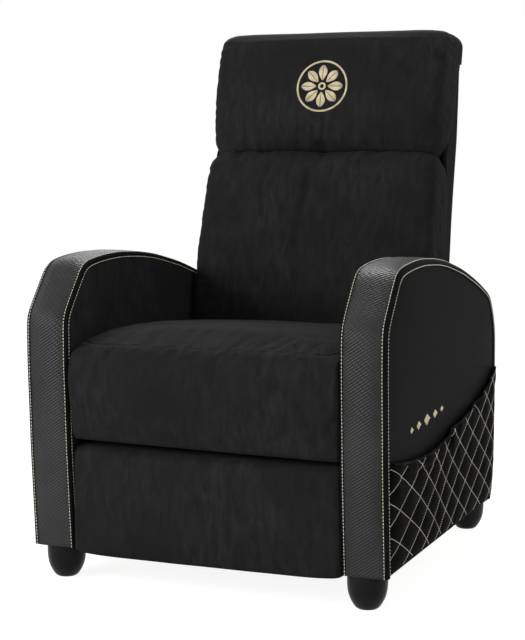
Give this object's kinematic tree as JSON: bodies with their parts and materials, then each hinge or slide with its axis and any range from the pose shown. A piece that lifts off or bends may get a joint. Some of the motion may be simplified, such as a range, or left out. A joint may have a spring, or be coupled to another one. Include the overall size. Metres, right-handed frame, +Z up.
{
  "type": "gaming recliner",
  "caption": "Single-seat push-back recliner with padded slab arms, quilted side pockets, round feet, a reclining back and a swing-out footrest",
  "frame": {"origin": "on the floor, under the centre of the chair's bounding box", "axes": "+X towards the sitter's left, which is the viewer's right; the chair faces -Y; +Z up"},
  "size_m": [0.7186, 0.8187, 1.0595],
  "materials": {
    "nap_fabric": "black short-nap upholstery fabric",
    "smooth_vinyl": "black smooth faux leather",
    "carbon_vinyl": "dark grey embossed faux leather with a carbon-look rib",
    "quilted_vinyl": "black faux leather quilted in gold diamonds",
    "black_plastic": "satin moulded black plastic",
    "pine": "bare pine and plywood",
    "black_steel": "black stove-enamelled pressed steel",
    "zinc_steel": "zinc-plated steel"
  },
  "bodies": {
    "base": {"front_cross_tube": "black_steel", "left_arm_bottom_rail": "pine", "left_arm_front_post": "pine", "left_arm_inner_board": "pine", "left_arm_inner_cover": "nap_fabric", "left_arm_outer_board": "pine", "left_arm_outer_cover": "smooth_vinyl", "left_arm_rear_post": "pine", "left_arm_strip": "carbon_vinyl", "left_base_plate": "black_steel", "left_front_arm_bolt": "zinc_steel", "left_front_foot": "black_plastic", "left_rear_arm_bolt": "zinc_steel", "left_rear_foot": "black_plastic", "left_side_pocket": "quilted_vinyl", "rear_cross_tube": "black_steel", "right_arm_bottom_rail": "pine", "right_arm_front_post": "pine", "right_arm_inner_board": "pine", "right_arm_inner_cover": "nap_fabric", "right_arm_outer_board": "pine", "right_arm_outer_cover": "smooth_vinyl", "right_arm_rear_post": "pine", "right_arm_strip": "carbon_vinyl", "right_base_plate": "black_steel", "right_front_arm_bolt": "zinc_steel", "right_front_foot": "black_plastic", "right_rear_arm_bolt": "zinc_steel", "right_rear_foot": "black_plastic", "right_side_pocket": "quilted_vinyl"},
    "seat": {"left_seat_plate": "black_steel", "right_seat_plate": "black_steel", "seat_cushion": "nap_fabric", "seat_front_rail": "pine", "seat_rear_rail": "pine", "seat_spring_1": "zinc_steel", "seat_spring_2": "zinc_steel", "seat_spring_3": "zinc_steel"},
    "back": {"back_bottom_rail": "pine", "back_lower_cushion": "nap_fabric", "back_rear_shell": "nap_fabric", "back_top_rail": "pine", "headrest_cushion": "nap_fabric", "left_back_bracket": "black_steel", "left_back_stile": "pine", "right_back_bracket": "black_steel", "right_back_stile": "pine"},
    "drive_links": {"footrest_torque_tube": "black_steel", "left_drive_link": "black_steel", "right_drive_link": "black_steel"},
    "guide_links": {"left_guide_link": "black_steel", "right_guide_link": "black_steel"},
    "carrier_links": {"left_carrier_link": "black_steel", "right_carrier_link": "black_steel"},
    "tilt_rods": {"left_tilt_rod": "black_steel", "right_tilt_rod": "black_steel"},
    "footrest": {"footrest_board": "pine", "footrest_pad": "nap_fabric", "left_footrest_bracket": "black_steel", "right_footrest_bracket": "black_steel"}
  },
  "joints": [
    {"name": "seat_glide", "type": "slide", "parent": "base", "child": "seat", "axis": [0, -0.9976, 0.0698], "range_m": [0, 0.05]},
    {"name": "back_recline", "type": "hinge", "parent": "seat", "child": "back", "pos_m": [0, 0.17, 0.335], "axis": [-1, 0, 0], "range_deg": [0, 45]},
    {"name": "footrest_open", "type": "hinge", "parent": "seat", "child": "drive_links", "pos_m": [0, -0.215, 0.275], "axis": [-1, 0, 0], "range_deg": [0, 85]},
    {"name": "guide_link_swing", "type": "hinge", "parent": "seat", "child": "guide_links", "pos_m": [0, -0.125, 0.263], "axis": [-1, 0, 0], "range_deg": [0, 85]},
    {"name": "carrier_link_level", "type": "hinge", "parent": "drive_links", "child": "carrier_links", "pos_m": [0, -0.17637, 0.06858], "axis": [-1, 0, 0], "range_deg": [-85, 0]},
    {"name": "tilt_rod_swing", "type": "hinge", "parent": "drive_links", "child": "tilt_rods", "pos_m": [0, -0.16339, 0.10853], "axis": [-1, 0, 0], "range_deg": [-85, 0]},
    {"name": "footrest_turn", "type": "hinge", "parent": "carrier_links", "child": "footrest", "pos_m": [0, -0.305, 0.175], "axis": [-1, 0, 0], "range_deg": [0, 85]}
  ],
  "couplings": [
    {"joint": "back_recline", "follows": "seat_glide", "rad_per_m": 15.708},
    {"joint": "guide_link_swing", "follows": "footrest_open", "ratio": 1},
    {"joint": "carrier_link_level", "follows": "footrest_open", "ratio": -1},
    {"joint": "tilt_rod_swing", "follows": "footrest_open", "ratio": -1},
    {"joint": "footrest_turn", "follows": "footrest_open", "ratio": 1}
  ]
}
